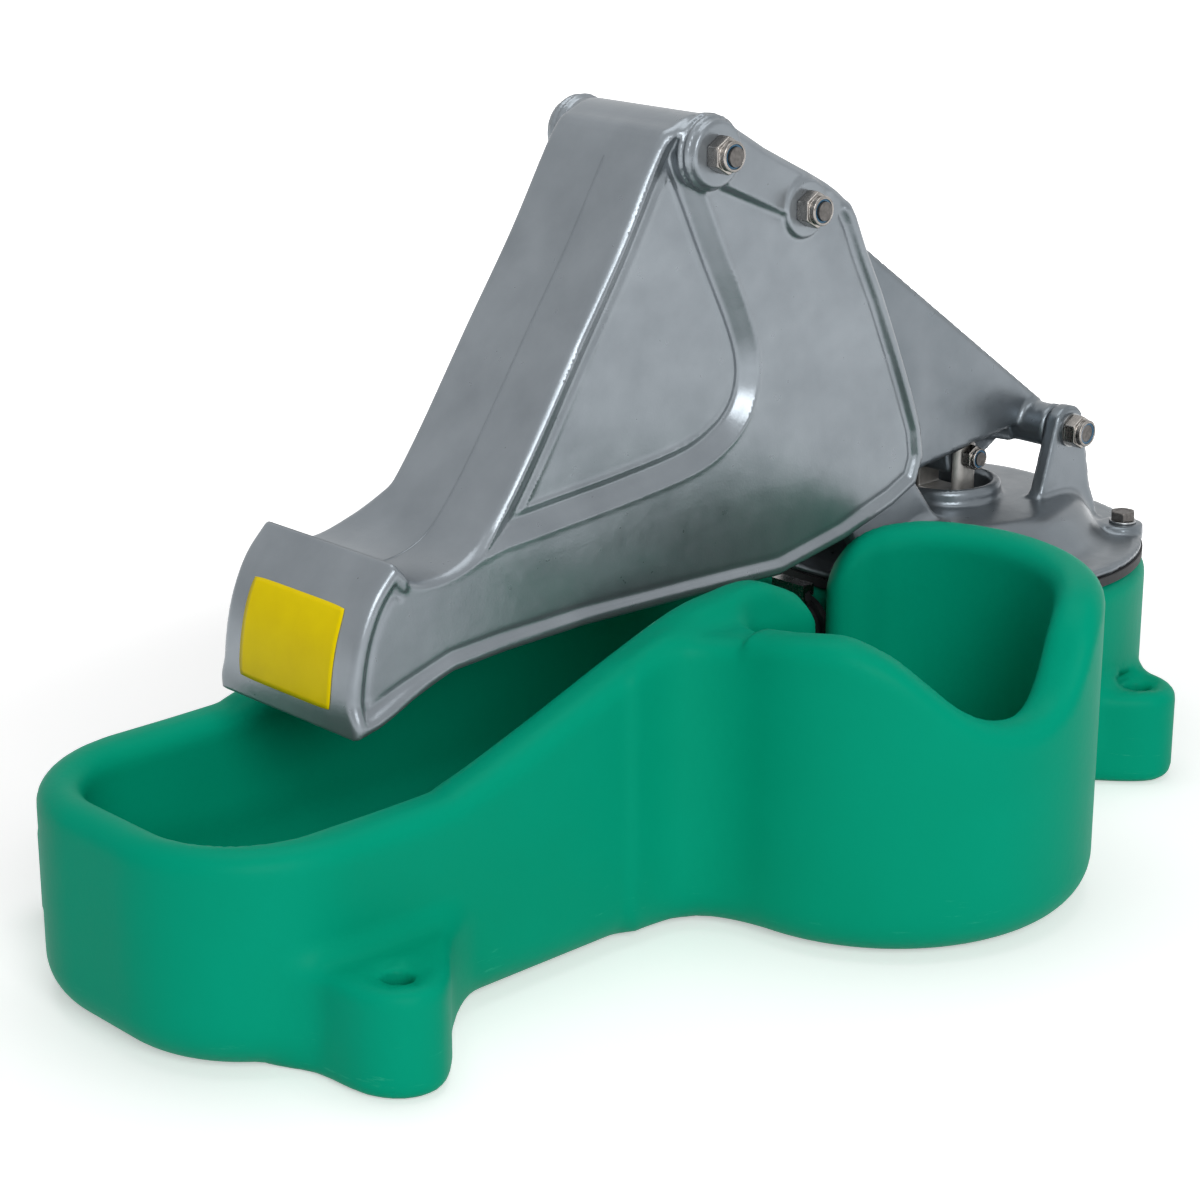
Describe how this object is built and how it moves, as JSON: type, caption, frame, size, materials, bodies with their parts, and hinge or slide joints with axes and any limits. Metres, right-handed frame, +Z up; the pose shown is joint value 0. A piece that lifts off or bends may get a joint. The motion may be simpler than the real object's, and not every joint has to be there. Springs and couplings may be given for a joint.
{
  "type": "pasture pump",
  "caption": "Nose-operated diaphragm water pump for cattle: moulded plastic trough with a side bowl for calves, cast pusher, lever and pump cover.",
  "frame": {"origin": "on the ground, midway between the four fixing holes", "axes": "+X from the drinking end of the trough to the pump, +Z up, the calf bowl on the -Y side"},
  "size_m": [0.765, 0.3844, 0.403],
  "materials": {
    "green_plastic": "satin, moulded",
    "cast_aluminium": "cast, sprayed silver",
    "zinc_steel": "bright zinc plated",
    "bright_steel": "stainless",
    "black_rubber": "matt",
    "black_plastic": "matt",
    "white_nylon": "matt",
    "brass_insert": "plain"
  },
  "bodies": {
    "housing": {"bowl_body": "green_plastic", "bowl_inserts": "brass_insert", "pump_cover": "cast_aluminium", "cover_bolts": "zinc_steel", "cover_washers": "zinc_steel", "diaphragm": "black_rubber", "return_spring": "bright_steel", "rear_pivot_bolt": "zinc_steel", "rear_pivot_nut": "zinc_steel", "rear_pivot_washers": "zinc_steel", "top_pivot_bushes": "white_nylon", "valve_plate": "black_plastic", "suction_flap_clip": "bright_steel", "delivery_seat": "black_plastic", "delivery_flap_clip": "bright_steel", "hose_tail": "black_plastic", "hose_tail_seal": "black_rubber"},
    "pusher": {"pusher": "cast_aluminium", "top_pivot_bolt": "zinc_steel", "top_pivot_nut": "zinc_steel", "drive_bolt": "zinc_steel", "drive_nut": "zinc_steel", "drive_bush": "white_nylon", "drive_spacers": "zinc_steel"},
    "lever": {"lever": "cast_aluminium", "lever_bush": "white_nylon"},
    "rod": {"diaphragm_rod": "bright_steel", "rod_nut": "zinc_steel", "upper_plate": "zinc_steel", "lower_plate": "zinc_steel", "rod_pin_bolt": "zinc_steel", "rod_pin_nut": "zinc_steel"},
    "inlet_valve": {"suction_flap": "black_rubber"},
    "outlet_valve": {"delivery_flap": "black_rubber"}
  },
  "joints": [
    {"name": "pusher_swing", "type": "hinge", "parent": "housing", "child": "pusher", "pos_m": [-0.001, 0, 0.383], "axis": [0, -1, 0], "range_deg": [0, 22], "stiffness_Nm_per_rad": 14, "springref_deg": -17.19},
    {"name": "lever_turn", "type": "hinge", "parent": "housing", "child": "lever", "pos_m": [0.303, 0, 0.186], "axis": [0, 1, 0], "range_deg": [0, 6]},
    {"name": "rod_lift", "type": "slide", "parent": "housing", "child": "rod", "axis": [0, 0, 1], "range_m": [0, 0.0055], "deforming": ["return_spring", "diaphragm"]},
    {"name": "inlet_flap", "type": "hinge", "parent": "housing", "child": "inlet_valve", "pos_m": [0.2805, 0, 0.0758], "axis": [0, 1, 0], "range_deg": [0, 20]},
    {"name": "outlet_flap", "type": "hinge", "parent": "housing", "child": "outlet_valve", "pos_m": [0.1202, 0, 0.115], "axis": [0, 1, 0], "range_deg": [0, 30]}
  ],
  "couplings": [
    {"joint": "lever_turn", "follows": "pusher_swing", "ratio": 0.268},
    {"joint": "rod_lift", "follows": "pusher_swing", "m_per_rad": 0.01412}
  ]
}
